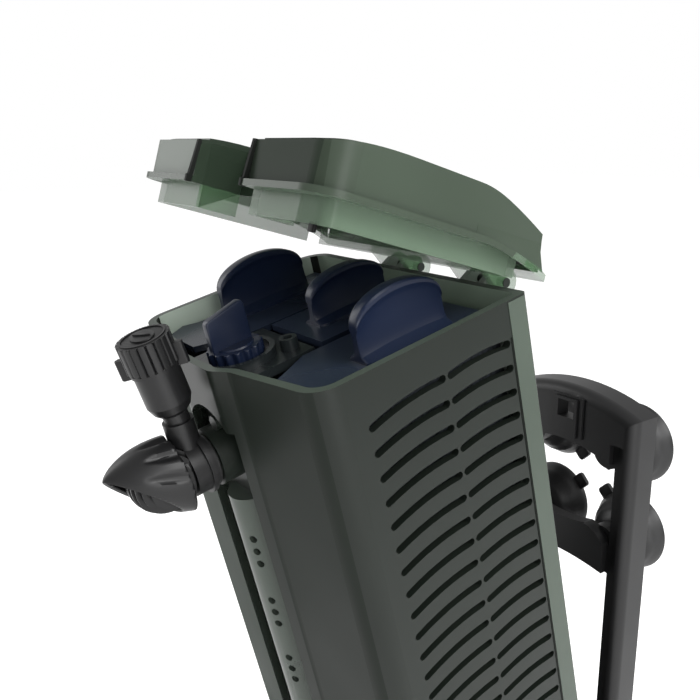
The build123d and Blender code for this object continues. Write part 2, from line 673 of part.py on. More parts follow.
def build():
    case = {
        "case_shell": case_shell(),
        "case_base": case_base(),
        "tilt_lugs": tilt_lugs(),
        "rear_duct": rear_duct(),
        "spray_column": spray_column(),
        "outlet_collar": outlet_collar(),
        "outlet_seal": outlet_seal(),
        "nozzle_elbow": nozzle_elbow(),
        "air_valve_body": air_valve_body(),
        "air_valve_cap": air_valve_cap(),
        "nozzle_dome": nozzle_dome(),
        "nozzle_grille": nozzle_grille(),
        "lid_hinge_pin_left": hinge_pin(-HINGE_X),
        "lid_hinge_pin_right": hinge_pin(HINGE_X),
        "foam_frame_left": foam_frame(-1),
        "foam_frame_right": foam_frame(1),
        "handle_left": fin(-CARTRIDGE_X, -49.0, -16.8, -5.2, -2.0, 12.3),
        "handle_right": fin(CARTRIDGE_X, -46.8, -16.8, -5.2, -2.0, 12.3),
        "handle_middle": fin(0, -37.5, -9.5, -4.8, -1.4, 9.6),
        "foam_cage_left": foam_cage(-1),
        "foam_cage_right": foam_cage(1),
        "foam_pad_left": foam_pad(-1),
        "foam_pad_right": foam_pad(1),
        "media_basket": media_basket(),
        "ceramic_media": ceramic_media(),
        "carbon_pouch": carbon_pouch(),
        "flow_dial": flow_dial(),
        "diverter_drum": diverter_drum(),
        "dial_cover_plate": cover_plate(),
        "flow_body": flow_body(),
        "pump_chamber": pump_chamber(),
        "motor_housing": motor_housing(),
        "motor_seal": motor_seal(),
        "impeller_shaft": impeller_shaft(),
        "shaft_bush_upper": shaft_bush(PUMP_TOP - 4),
        "rotor_magnet": rotor_magnet(),
        "impeller": impeller(),
        "cable_gland": cable_gland(),
    }
    lid = {"lid_shell": lid_shell()}
    bracket = {
        "bracket_frame": bracket_frame(),
        "pivot_pin_left": pivot_pin(-1),
        "pivot_pin_right": pivot_pin(1),
        "suction_cup_upper_left": suction_cup(-CUP_X, CUP_Z),
        "suction_cup_upper_right": suction_cup(CUP_X, CUP_Z),
        "suction_cup_lower_left": suction_cup(-CUP_X, -CUP_Z),
        "suction_cup_lower_right": suction_cup(CUP_X, -CUP_Z),
    }
    parts = dict(bracket)
    parts.update({name: placed(shape, CASE_PLACE) for name, shape in case.items()})
    parts.update({name: placed(shape, LID_PLACE) for name, shape in lid.items()})
    return parts


os.makedirs("parts", exist_ok=True)
for node, shape in build().items():
    export_step(shape, f"parts/{node}.step")
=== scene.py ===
import json
from math import cos, pi, radians, sin, sqrt

import bmesh
import bpy
from mathutils import Matrix, Vector, noise


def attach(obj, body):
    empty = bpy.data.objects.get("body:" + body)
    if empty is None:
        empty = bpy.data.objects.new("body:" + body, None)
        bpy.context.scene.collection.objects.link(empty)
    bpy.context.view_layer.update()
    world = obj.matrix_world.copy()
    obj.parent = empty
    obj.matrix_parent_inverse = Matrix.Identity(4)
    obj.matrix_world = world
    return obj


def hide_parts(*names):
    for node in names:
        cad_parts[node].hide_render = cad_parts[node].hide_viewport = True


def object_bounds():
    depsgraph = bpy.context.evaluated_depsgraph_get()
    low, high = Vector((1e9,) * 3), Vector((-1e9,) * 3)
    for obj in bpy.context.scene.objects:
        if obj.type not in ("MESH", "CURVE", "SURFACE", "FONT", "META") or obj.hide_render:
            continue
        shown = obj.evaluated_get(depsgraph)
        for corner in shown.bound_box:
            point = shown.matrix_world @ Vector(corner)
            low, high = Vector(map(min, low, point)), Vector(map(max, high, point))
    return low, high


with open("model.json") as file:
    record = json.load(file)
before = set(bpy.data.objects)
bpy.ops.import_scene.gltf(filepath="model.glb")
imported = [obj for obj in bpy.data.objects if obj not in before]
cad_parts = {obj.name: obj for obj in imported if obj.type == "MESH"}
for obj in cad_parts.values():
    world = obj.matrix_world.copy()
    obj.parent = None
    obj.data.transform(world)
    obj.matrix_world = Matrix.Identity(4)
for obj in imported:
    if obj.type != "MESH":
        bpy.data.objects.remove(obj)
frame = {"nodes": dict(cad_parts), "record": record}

cad_low, cad_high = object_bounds()

# Looks for the internal power filter. Lengths are in millimetres in four local frames, and MM
# brings them to metres. In all of them X points to the filter's right.
# CASE has its origin at the middle of the top back edge of the case, -Y to the front and Z up
# the case. LID is where the same frame goes when the open lid takes it along. VALVE has Z
# along the leaning air valve, and NOZZLE has Z along the nozzle.

MM = 0.001

# Where the frames sit.
TILT = radians(13.8)
RIM = (0, -104.6, 95.9)
LID_OPEN = radians(30.5)
LID_HINGE = (0, 15.5, -6.5)
VALVE_LEAN = radians(5.0)
VALVE_FOOT = (0, -86.1, -14.0)
DOME_PITCH = radians(70.0)
DOME_BASE = (0, -86.5, -30.0)

# The case and the lid.
RECESS_HALF = 14
RECESS_LIP_Y = -71
FRONT_LEFT_X = -16
FRONT_RIGHT_X = 15
CASE_FRONT_Y = -69
CASE_BACK_Y = -4
CASE_LEFT_X = -48
BACK_STRIP_Y = 0.1
RIM_Z = -0.4
SEAM_X = 51.42
LID_MIDDLE = Vector((0, -35, 5))
LID_CORE_X = 49.6
LID_CORE_Y = -70.3
LID_FRONT_Y = -62
FLANGE_TOP = 1.9
LID_LEFT_X = -15
LID_ARMS_Y = 2.3
SKIRT_TOP = 0.35
SKIRT_LEFT_X = -46
SKIRT_REAR_Y = -7
NOTCH_X = 17.6
NOTCH_Y = -54
CHEEK_X = 50.94
CHEEK_FRONT_Y = -24
CHEEK_LENGTH = 26.4
CHEEK_DROP = 5.2
CHEEK_FLARE = 1.35
CHEEK_WALL = 0.35

# The nozzle and the air valve.
DOME_RADIUS = 11.3
DOME_LENGTH = 25.7
DOME_TAIL = 4.5
DOME_WALL = 1.3
FLUTES = (-78, -42, -6, 30, 66)
FLUTE_MIDDLE = 10.5
FLUTE_HALF_LENGTH = 6.5
FLUTE_HALF_WIDTH = 1.6
FLUTE_RADIUS = 11.0
FLUTE_DEPTH = 1.1
NECK_Y = -90.9
PORT_Z = -29
MOUTH = (0, -100.2, -33.6)
MOUTH_TURN = radians(40.5)
MOUTH_LEAN = 0.36
BALL_MIDDLE = Vector((0, -95.4, -27.6))
BALL_RADIUS = 8.4
RIB_REACH = 9.9
RIB_PITCH = 1.9
CAP_RADIUS = 7.4
CAP_KNURLS = 20
KNURL_DEPTH = 0.55
WING_TURN = radians(54.6)

# The cups, the dial, the cartridges and the basket.
CUP_X = 18.75
CUP_Z = 18.75
CUP_RADIUS = 15.9
CUP_NECK = 6.0
DIAL_Y = -63.9
DIAL_RADIUS = 7.75
DIAL_LOBES = 16
LOBE_DEPTH = 0.42
CARTRIDGE_X = 35.4
BASKET_Y = -23.5
FIN_FOOT = 5.4
FOAM_LOW = Vector((22.8, -63.8, -288.4))
FOAM_HIGH = Vector((45.8, -5.2, -7.8))


def shift(point):
    """A move by a point given in millimetres."""
    return Matrix.Translation(Vector(point) * MM)


def turn(angle, axis):
    """A turn about an axis through the origin."""
    return Matrix.Rotation(angle, 4, axis)


CASE = shift(RIM) @ turn(TILT, "X")
LID = CASE @ shift(LID_HINGE) @ turn(-LID_OPEN, "X") @ shift([-v for v in LID_HINGE])
VALVE = CASE @ shift(VALVE_FOOT) @ turn(VALVE_LEAN, "X")
NOZZLE = CASE @ shift(DOME_BASE) @ turn(DOME_PITCH, "X")

# Takes an outline's x and y to Y and Z, and its height to X.
SIDEWAYS = Matrix(((0, 0, 1, 0), (1, 0, 0, 0), (0, 1, 0, 0), (0, 0, 0, 1)))


# ---------------------------------------------------------------- materials


def new_material(name):
    """A material with its Principled shader and object coordinates."""
    mat = bpy.data.materials.new(name)
    mat.use_nodes = True
    tree = mat.node_tree
    where = tree.nodes.new("ShaderNodeTexCoord")
    return mat, tree, tree.nodes["Principled BSDF"], where.outputs["Object"]


def noise_node(tree, where, scale, detail=3.0, rough=0.5):
    """Noise between 0 and 1, mostly from 0.3 to 0.7."""
    node = tree.nodes.new("ShaderNodeTexNoise")
    node.inputs["Scale"].default_value = scale
    node.inputs["Detail"].default_value = detail
    node.inputs["Roughness"].default_value = rough
    tree.links.new(where, node.inputs["Vector"])
    return node.outputs["Fac"]


def ramp_node(tree, value, stops):
    """A colour ramp through (position, colour) stops."""
    node = tree.nodes.new("ShaderNodeValToRGB")
    ramp = node.color_ramp
    while len(ramp.elements) < len(stops):
        ramp.elements.new(0.5)
    for element, (place, colour) in zip(ramp.elements, stops):
        element.position = place
        element.color = (*colour, 1.0)
    tree.links.new(value, node.inputs["Fac"])
    return node.outputs["Color"]


def range_node(tree, value, low, high):
    """Stretches the usual span of a noise value to the range from low to high."""
    node = tree.nodes.new("ShaderNodeMapRange")
    node.inputs["From Min"].default_value = 0.3
    node.inputs["From Max"].default_value = 0.7
    node.inputs["To Min"].default_value = low
    node.inputs["To Max"].default_value = high
    tree.links.new(value, node.inputs["Value"])
    return node.outputs["Result"]


def bump_node(tree, shader, height, strength, distance):
    """Lets a height value ruffle the shader's surface."""
    node = tree.nodes.new("ShaderNodeBump")
    node.inputs["Strength"].default_value = strength
    node.inputs["Distance"].default_value = distance
    tree.links.new(height, node.inputs["Height"])
    tree.links.new(node.outputs["Normal"], shader.inputs["Normal"])


def shade(colour, factor):
    """A colour made darker or lighter."""
    return tuple(min(1.0, c * factor) for c in colour)


def moulded(name, colour, rough=0.35, spread=0.1, relief=0.04, alpha=1.0, specular=0.4):
    """Injection-moulded plastic: faint flow clouds, fine grain and uneven gloss."""
    mat, tree, shader, where = new_material(name)
    clouds = noise_node(tree, where, 22, 1.0)
    stops = [(0.2, shade(colour, 1 - spread)), (0.5, colour), (0.8, shade(colour, 1 + spread))]
    tree.links.new(ramp_node(tree, clouds, stops), shader.inputs["Base Color"])
    fine = noise_node(tree, where, 700, 2.0)
    tree.links.new(range_node(tree, clouds, rough - 0.05, rough + 0.07), shader.inputs["Roughness"])
    bump_node(tree, shader, fine, relief, 0.00004)
    shader.inputs["Alpha"].default_value = alpha
    shader.inputs["Specular IOR Level"].default_value = specular
    return mat


def rubber(name, colour):
    """Soft moulded rubber with a bloom of paler dust."""
    mat, tree, shader, where = new_material(name)
    dust = noise_node(tree, where, 60, 3.0, 0.6)
    stops = [(0.3, colour), (0.6, shade(colour, 1.12)), (0.85, shade(colour, 1.35))]
    tree.links.new(ramp_node(tree, dust, stops), shader.inputs["Base Color"])
    tree.links.new(range_node(tree, dust, 0.38, 0.55), shader.inputs["Roughness"])
    bump_node(tree, shader, noise_node(tree, where, 600, 2.0), 0.06, 0.00005)
    shader.inputs["Sheen Weight"].default_value = 0.05
    shader.inputs["Specular IOR Level"].default_value = 0.35
    return mat


def open_foam(name, colour):
    """Reticulated foam: cells as pits between threads, with painted shade in the pits and the
    threads painted paler.
    """
    mat, tree, shader, where = new_material(name)
    cells = tree.nodes.new("ShaderNodeTexVoronoi")
    cells.inputs["Scale"].default_value = 900
    tree.links.new(where, cells.inputs["Vector"])
    depth = cells.outputs["Distance"]
    # Painted shade and light: darker towards the middle of each cell, paler on the threads between
    # cells.
    stops = [(0.0, shade(colour, 0.3)), (0.35, colour), (0.7, shade(colour, 1.8))]
    tree.links.new(ramp_node(tree, depth, stops), shader.inputs["Base Color"])
    bump_node(tree, shader, depth, 0.7, 0.0005)
    shader.inputs["Roughness"].default_value = 0.95
    return mat


def brushed(name, colour, rough):
    """Ground metal with fine lines along X."""
    mat, tree, shader, where = new_material(name)
    stretch = tree.nodes.new("ShaderNodeMapping")
    stretch.inputs["Scale"].default_value = (1800, 60, 60)
    tree.links.new(where, stretch.inputs["Vector"])
    lines = noise_node(tree, stretch.outputs["Vector"], 1.0, 3.0)
    stops = [(0.35, shade(colour, 0.85)), (0.65, shade(colour, 1.1))]
    tree.links.new(ramp_node(tree, lines, stops), shader.inputs["Base Color"])
    tree.links.new(range_node(tree, lines, rough - 0.06, rough + 0.1), shader.inputs["Roughness"])
    shader.inputs["Metallic"].default_value = 1.0
    return mat


def speckled(name, colour, rough, scale=700):
    """Fired ceramic or sintered ferrite: a speckled, pitted skin."""
    mat, tree, shader, where = new_material(name)
    specks = noise_node(tree, where, scale, 5.0, 0.7)
    stops = [(0.3, shade(colour, 0.7)), (0.5, colour), (0.75, shade(colour, 1.15))]
    tree.links.new(ramp_node(tree, specks, stops), shader.inputs["Base Color"])
    bump_node(tree, shader, specks, 0.4, 0.0002)
    shader.inputs["Roughness"].default_value = rough
    return mat


def knitted(name, colour):
    """Fine net of crossing threads."""
    mat, tree, shader, where = new_material(name)
    bands = []
    for direction in ("X", "Z"):
        wave = tree.nodes.new("ShaderNodeTexWave")
        wave.bands_direction = direction
        wave.inputs["Scale"].default_value = 260
        tree.links.new(where, wave.inputs["Vector"])
        bands.append(wave.outputs["Fac"])
    both = tree.nodes.new("ShaderNodeMath")
    both.operation = "MAXIMUM"
    tree.links.new(bands[0], both.inputs[0])
    tree.links.new(bands[1], both.inputs[1])
    stops = [(0.4, shade(colour, 0.3)), (0.9, shade(colour, 1.6))]
    tree.links.new(ramp_node(tree, both.outputs["Value"], stops), shader.inputs["Base Color"])
    bump_node(tree, shader, both.outputs["Value"], 0.6, 0.0004)
    shader.inputs["Roughness"].default_value = 0.85
    return mat


SMOKE = moulded("smoke_plastic", (0.0085, 0.0112, 0.0088), 0.34, alpha=0.97, specular=0.2)
# Painted light: a paler copy of the smoke plastic on the case's upward rim faces and on the rear
# strips, standing in for light falling on the rim and coming through the strips.
SMOKE_PAINTED_LIGHT = moulded("smoke_rim_and_strip_painted_light", (0.055, 0.07, 0.056), 0.32, alpha=0.88, specular=0.25)
# Painted shade: a duller copy of the smoke plastic, with weaker reflections, on the case's bowed
# right front.
SMOKE_BOW_PAINTED_SHADE = moulded(
    "smoke_bowed_front_painted_shade", (0.0125, 0.0155, 0.0127), 0.42, alpha=0.97, specular=0.07
)
# Painted light: a very pale copy of the smoke plastic on the case's left inner wall, standing in
# for light coming through it.
SMOKE_LEFT_PAINTED_LIGHT = moulded("smoke_left_wall_painted_light", (0.58, 0.68, 0.58), 0.4, alpha=0.9, specular=0.2)
# Painted light: a pale copy of the smoke plastic on the inner face of the case's back wall,
# standing in for light coming into the case from above.
SMOKE_INNER_PAINTED_LIGHT = moulded("smoke_inner_wall_painted_light", (0.2, 0.26, 0.2), 0.35, alpha=0.8, specular=0.2)
# Painted light: a paler, more see-through copy of the smoke plastic on the side walls of the front
# recess.
SMOKE_RECESS_PAINTED_LIGHT = moulded("smoke_recess_painted_light", (0.022, 0.028, 0.022), 0.3, alpha=0.62, specular=0.3)
SMOKE_PALE = moulded("smoke_plastic_pale", (0.05, 0.062, 0.051), 0.3, alpha=0.88, specular=0.3)
# Painted shading: a matt copy of the smoke plastic, with a lighter base and almost no reflection,
# on the case's left front.
SMOKE_FRONT_PAINTED_SHADING = moulded("smoke_left_front_painted_shading", (0.03, 0.038, 0.031), 0.5, specular=0.03)
LID_SMOKE = moulded("lid_plastic", (0.034, 0.047, 0.033), 0.3, alpha=0.93, specular=0.22)
# Painted shade: a darker, duller copy of the lid plastic on the lid's outer front face.
LID_FRONT_PAINTED_SHADE = moulded("lid_front_painted_shade", (0.018, 0.025, 0.018), 0.42, alpha=0.98, specular=0.05)
# Painted shading: steps of a lighter, glossier lid plastic on the front's rounded corners, the
# lighter the further they turn to the side.
LID_TURN_PAINTED_SHADING = moulded("lid_turn_painted_shading", (0.026, 0.036, 0.025), 0.36, alpha=0.96, specular=0.1)
LID_BEND_PAINTED_SHADING = moulded("lid_bend_painted_shading", (0.034, 0.046, 0.033), 0.32, alpha=0.94, specular=0.18)
# Painted light: a pale copy of the lid plastic on the left part of the lid's front, standing in for
# light coming through it.
LID_LEFT = moulded("lid_left_painted_light", (0.16, 0.18, 0.16), 0.4, alpha=0.94, specular=0.15)
# Painted shade: a darker copy of the lid plastic on the walls of the lid's notch.
LID_NOTCH_PAINTED_SHADE = moulded(
    "lid_notch_painted_shade", (0.0145, 0.0235, 0.0145), 0.36, alpha=0.92, specular=0.1
)
# Painted light: a pale, very see-through copy of the lid plastic on the skirt's left and rear walls
# and in the notch, standing in for light coming through them.
LID_PAINTED_BACKLIGHT = moulded("lid_painted_backlight_plastic", (0.07, 0.14, 0.07), 0.3, alpha=0.38, specular=0.2)
# Painted light: a pale copy of the lid plastic on the lid's inner faces, which lie in shade.
LID_INNER_PAINTED_LIGHT = moulded("lid_inner_painted_light", (0.22, 0.3, 0.22), 0.35, alpha=0.6, specular=0.15)
# Painted light: a paler, more see-through copy of the lid plastic on the skirt below the flange and
# on the rear arms, standing in for light coming through them.
LID_SKIRT_PAINTED_LIGHT = moulded("lid_skirt_painted_light", (0.085, 0.125, 0.085), 0.3, alpha=0.66, specular=0.25)
GREY = moulded("grey_plastic", (0.012, 0.015, 0.016), 0.26, specular=0.35)
SLATE = moulded("slate_blue_plastic", (0.013, 0.019, 0.034), 0.28)
NAVY = moulded("navy_plastic", (0.006, 0.0105, 0.027), 0.33, specular=0.3)
CHARCOAL = moulded("charcoal_plastic", (0.0062, 0.0062, 0.0065), 0.4, relief=0.06, specular=0.3)
BLACK = moulded("black_plastic", (0.0025, 0.0025, 0.0025), 0.5, specular=0.12)
WHITE = moulded("white_plastic", (0.62, 0.62, 0.6), 0.4, spread=0.04)
SHADOW = moulded("seam_plastic", (0.003, 0.004, 0.003), 0.6, specular=0.1)
CUP = rubber("cup_rubber", (0.0062, 0.0062, 0.0066))
SEAL = rubber("seal_rubber", (0.008, 0.008, 0.008))
FOAM = open_foam("foam", (0.02, 0.023, 0.028))
NET = knitted("mesh_fabric", (0.03, 0.03, 0.03))
CERAMIC = speckled("ceramic", (0.55, 0.5, 0.42), 0.85)
FERRITE = speckled("ferrite", (0.05, 0.05, 0.055), 0.5, 1200)
STEEL = brushed("steel", (0.55, 0.55, 0.56), 0.28)

SLOT_LOOK = {
    "smoke_plastic": SMOKE,
    "smoke_plastic_pale": SMOKE_PALE,
    "lid_plastic": LID_SMOKE,
    "grey_plastic": GREY,
    "slate_blue_plastic": SLATE,
    "navy_plastic": NAVY,
    "charcoal_plastic": CHARCOAL,
    "black_plastic": BLACK,
    "white_plastic": WHITE,
    "cup_rubber": CUP,
    "seal_rubber": SEAL,
    "foam": FOAM,
    "mesh_fabric": NET,
    "ceramic": CERAMIC,
    "ferrite": FERRITE,
    "steel": STEEL,
}


# ---------------------------------------------------------------- mesh tools


def finish_piece(name, mesh_data, frame_matrix, mat, body, crease=35):
    """Puts a bmesh drawn in millimetres in a local frame into the scene as one piece."""
    bmesh.ops.recalc_face_normals(mesh_data, faces=mesh_data.faces)
    mesh = bpy.data.meshes.new(name)
    mesh_data.to_mesh(mesh)
    mesh_data.free()
    mesh.transform(frame_matrix @ Matrix.Scale(MM, 4))
    mesh.shade_smooth()
    mesh.set_sharp_from_angle(angle=radians(crease))
    mesh.materials.append(mat)
    piece = bpy.data.objects.new(name, mesh)
    bpy.context.scene.collection.objects.link(piece)
    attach(piece, body)
    return piece


def circle(step, steps, radius_x, radius_y=None):
    """A point of a circle or an ellipse, as x and y."""
    angle = 2 * pi * step / steps
    return radius_x * cos(angle), (radius_x if radius_y is None else radius_y) * sin(angle)


def wrap(mesh_data, low, high):
    """A band of quads between two closed rings of the same length."""
    count = len(low)
    for step in range(count):
        after = (step + 1) % count
        mesh_data.faces.new([low[step], low[after], high[after], high[step]])


def skin(mesh_data, rows):
    """A closed body through rows of points, with both ends capped."""
    for low, high in zip(rows, rows[1:]):
        wrap(mesh_data, low, high)
    mesh_data.faces.new(rows[0])
    mesh_data.faces.new(rows[-1])


def lathe(mesh_data, profile, steps=64, place=Matrix.Identity(4)):
    """Turns (radius, height) points about Z. A radius of 0 closes the end."""
    rings = []
    for radius, height in profile:
        if radius == 0:
            rings.append([mesh_data.verts.new(place @ Vector((0, 0, height)))])
            continue
        points = [place @ Vector((*circle(step, steps, radius), height)) for step in range(steps)]
        rings.append([mesh_data.verts.new(point) for point in points])
    for low, high in zip(rings, rings[1:]):
        for step in range(steps):
            after = (step + 1) % steps
            corners = [low[step % len(low)], low[after % len(low)]]
            corners += [high[after % len(high)], high[step % len(high)]]
            unique = list(dict.fromkeys(corners))
            if len(unique) > 2:
                mesh_data.faces.new(unique)


def slab(mesh_data, outline, low, high, place=Matrix.Identity(4), round_by=0.0):
    """A plate between two heights with the given (x, y) outline and rounded rims."""
    made = []
    for height in (low, high):
        made.append([mesh_data.verts.new(place @ Vector((x, y, height))) for x, y in outline])
    faces = [mesh_data.faces.new(made[0]), mesh_data.faces.new(made[1])]
    count = len(outline)
    for step in range(count):
        after = (step + 1) % count
        corners = [made[0][step], made[0][after], made[1][after], made[1][step]]
        faces.append(mesh_data.faces.new(corners))
    if round_by:
        edges = list(dict.fromkeys(edge for face in faces[:2] for edge in face.edges))
        bmesh.ops.bevel(
            mesh_data, geom=edges, offset=round_by, segments=3, profile=0.5, affect="EDGES"
        )


def rounded_box(size, radius, steps=5):
    """Outline of a rectangle with rounded corners."""
    half_x, half_y = size[0] / 2 - radius, size[1] / 2 - radius
    points = []
    for corner, (sx, sy) in enumerate(((1, 1), (-1, 1), (-1, -1), (1, -1))):
        for step in range(steps + 1):
            angle = corner * pi / 2 + step * pi / 2 / steps
            points.append((sx * half_x + radius * cos(angle), sy * half_y + radius * sin(angle)))
    return points


# ---------------------------------------------------------------- carried-over CAD nodes


def dress_nodes():
    """Each CAD node gets its slot's material and smooth curves, with edges sharper than 28 degrees
    kept sharp.
    """
    slots = {part["node"]: part["material_slot"] for part in frame["record"]["subparts"]}
    for name, node in frame["nodes"].items():
        node.data.materials.clear()
        node.data.materials.append(SLOT_LOOK[slots[name]])
        node.data.shade_smooth()
        node.data.set_sharp_from_angle(angle=radians(28))


def face_looks(node, frame_matrix, looks):
    """Gives a node's faces another look where a test holds at all their corners.

    A test gets a corner in the local frame, in millimetres, and the face's normal. A later
    look wins over an earlier one.
    """
    to_local = frame_matrix.inverted()
    spots = [(to_local @ vertex.co) / MM for vertex in node.data.vertices]
    for look, test in looks:
        node.data.materials.append(look)
        index = len(node.data.materials) - 1
        for face in node.data.polygons:
            normal = to_local.to_3x3() @ face.normal
            if all(test(spots[corner], normal) for corner in face.vertices):
                face.material_index = index


def lid_front(at, out):
    """True on the outer front face of the lid and its rounded corners."""
    return out.y < -0.02 and out.z < 0.6 and at.y < LID_FRONT_Y and at.z > FLANGE_TOP


def lid_inside(at, out):
    """True on the faces of the lid that look to its middle."""
    return abs(at.x) < LID_CORE_X and at.y > LID_CORE_Y and out.dot(LID_MIDDLE - at) > 0


def skirt_in_light(at, out):
    """True on the skirt's left and rear walls and in the notch, where light coming through is
    painted into the colour.
    """
    lit = at.x < SKIRT_LEFT_X or at.y > SKIRT_REAR_Y or abs(at.x) < NOTCH_X
    return at.z < SKIRT_TOP and lit


def shell_looks():
    """The case and the lid get painted light and shade: paler copies of their plastic where light
    comes through thin walls or falls on them, darker and duller ones where they are in shade.
    """
    case_looks = [
        (SMOKE_RECESS_PAINTED_LIGHT, lambda at, out: (
            abs(at.x) < RECESS_HALF and at.y < RECESS_LIP_Y and abs(out.x) > 0.7
        )),
        (SMOKE_FRONT_PAINTED_SHADING, lambda at, out: (
            at.x < FRONT_LEFT_X and at.y < CASE_FRONT_Y and out.y < -0.7
        )),
        (SMOKE_INNER_PAINTED_LIGHT, lambda at, out: at.y > CASE_BACK_Y and out.y < -0.5),
        (SMOKE_BOW_PAINTED_SHADE, lambda at, out: (
            at.x > FRONT_RIGHT_X and at.y < CASE_FRONT_Y and out.y < -0.5
        )),
        (SMOKE_LEFT_PAINTED_LIGHT, lambda at, out: at.x < CASE_LEFT_X and out.x > 0.5),
        (SMOKE_PAINTED_LIGHT, lambda at, out: out.z > 0.9 and at.z > RIM_Z or at.y > BACK_STRIP_Y),
    ]
    face_looks(frame["nodes"]["case_shell"], CASE, case_looks)
    lid_looks = [
        (LID_FRONT_PAINTED_SHADE, lid_front),
        (LID_TURN_PAINTED_SHADING, lambda at, out: lid_front(at, out) and abs(out.x) > 0.3),
        (LID_BEND_PAINTED_SHADING, lambda at, out: lid_front(at, out) and abs(out.x) > 0.6),
        (LID_LEFT, lambda at, out: lid_front(at, out) and at.x < LID_LEFT_X),
        (LID_INNER_PAINTED_LIGHT, lid_inside),
        (LID_NOTCH_PAINTED_SHADE, lambda at, out: abs(at.x) < NOTCH_X and at.y < NOTCH_Y and out.z < 0.7),
        (LID_SKIRT_PAINTED_LIGHT, lambda at, out: at.z < SKIRT_TOP or at.y > LID_ARMS_Y),
        (LID_PAINTED_BACKLIGHT, skirt_in_light),
    ]
    face_looks(frame["nodes"]["lid_shell"], LID, lid_looks)


# ---------------------------------------------------------------- pieces


def suction_cup(side, height):
    """A bell of soft rubber with a ribbed skin, a plug into the bracket and a pull tab."""
    name = f"{'upper' if height > 0 else 'lower'}_{'right' if side > 0 else 'left'}"
    cup = bmesh.new()
    shoulder = 12.1
    outer = [(0, 15.2), (3.0, 15.2), (3.5, 14.6), (3.5, 12.6), (CUP_NECK, shoulder)]
    for step in range(13):
        share = step / 12
        radius = CUP_NECK + (CUP_RADIUS - CUP_NECK) * share ** 0.8
        rise = shoulder - 11.2 * share ** 1.35
        ridge = 0.22 if step in (4, 8) else 0.0
        outer.append((radius + ridge, rise + ridge))
    lip = [(CUP_RADIUS + 0.05, 0.45), (CUP_RADIUS - 0.2, 0.05)]
    inner = [(14.6, 0.1), (12.0, 1.2), (8.0, 3.0), (4.0, 4.2), (0, 4.6)]
    lathe(cup, outer + lip + inner, 72)
    reach = (CUP_RADIUS + 0.9) / sqrt(2)
    tab_place = (-reach if side > 0 else reach, -reach if height > 0 else reach, 0.95)
    inward = Matrix.Translation(tab_place) @ Matrix.Rotation(pi / 4, 4, "Z")
    slab(cup, rounded_box((6.0, 6.0), 1.0), -0.8, 0.8, inward, 0.3)
    place = shift((side * CUP_X, 0, height)) @ turn(pi / 2, "X")
    piece = finish_piece("cup_" + name, cup, place, CUP, "bracket")
    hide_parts("suction_cup_" + name)


def dome_radius(along):
    """Radius of the nozzle's ogive at a distance along it."""
    if along <= 0:
        return DOME_RADIUS - 0.06 * along * along
    return DOME_RADIUS * (1 - (along / DOME_LENGTH) ** 2.25) ** 0.7


def flute_depth(along, angle):
    """How far the flutes dip into the ogive at a distance along it and an angle round it."""
    depth = 0.0
    for flute in FLUTES:
        away = (angle - radians(90 + flute) + pi) % (2 * pi) - pi
        across = away * FLUTE_RADIUS / FLUTE_HALF_WIDTH
        length = (along - FLUTE_MIDDLE) / FLUTE_HALF_LENGTH
        dip = max(0.0, 1 - across * across - length * length)
        depth += FLUTE_DEPTH * dip ** 0.8
    return depth


def cut(mesh_data, to_local, point, normal):
    """Cuts away what lies beyond a plane given in the case frame, in millimetres."""
    matrix = to_local @ CASE
    spot = (matrix @ (point * MM)) / MM
    direction = (matrix.to_3x3() @ normal).normalized()
    geometry = mesh_data.verts[:] + mesh_data.edges[:] + mesh_data.faces[:]
    bmesh.ops.bisect_plane(
        mesh_data, geom=geometry, plane_co=spot, plane_no=direction, clear_outer=True
    )


def nozzle_shell():
    """The fluted ogive, cut off at the port and at its mouth, with a wall."""
    steps, rows = 96, 44
    shell = bmesh.new()
    grid = []
    for row in range(rows + 1):
        along = -DOME_TAIL + (DOME_LENGTH + DOME_TAIL) * (1 - (1 - row / rows) ** 1.5)
        ring = []
        for step in range(steps):
            radius = dome_radius(along) - flute_depth(along, 2 * pi * step / steps)
            ring.append(shell.verts.new((*circle(step, steps, radius), along)))
        grid.append(ring)
    for low, high in zip(grid, grid[1:]):
        wrap(shell, low, high)
    to_nozzle = NOZZLE.inverted()
    cut(shell, to_nozzle, Vector((0, NECK_Y, PORT_Z)), Vector((0, 1, 0)))
    mouth_normal = Vector((MOUTH_LEAN, -cos(MOUTH_TURN), -sin(MOUTH_TURN)))
    cut(shell, to_nozzle, Vector(MOUTH), mouth_normal)
    bmesh.ops.remove_doubles(shell, verts=shell.verts, dist=0.02)
    piece = finish_piece("nozzle_shell", shell, NOZZLE, CHARCOAL, "nozzle", 50)
    thick = piece.modifiers.new("wall", "SOLIDIFY")
    thick.thickness = DOME_WALL * MM
    thick.offset = -1
    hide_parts("nozzle_dome")


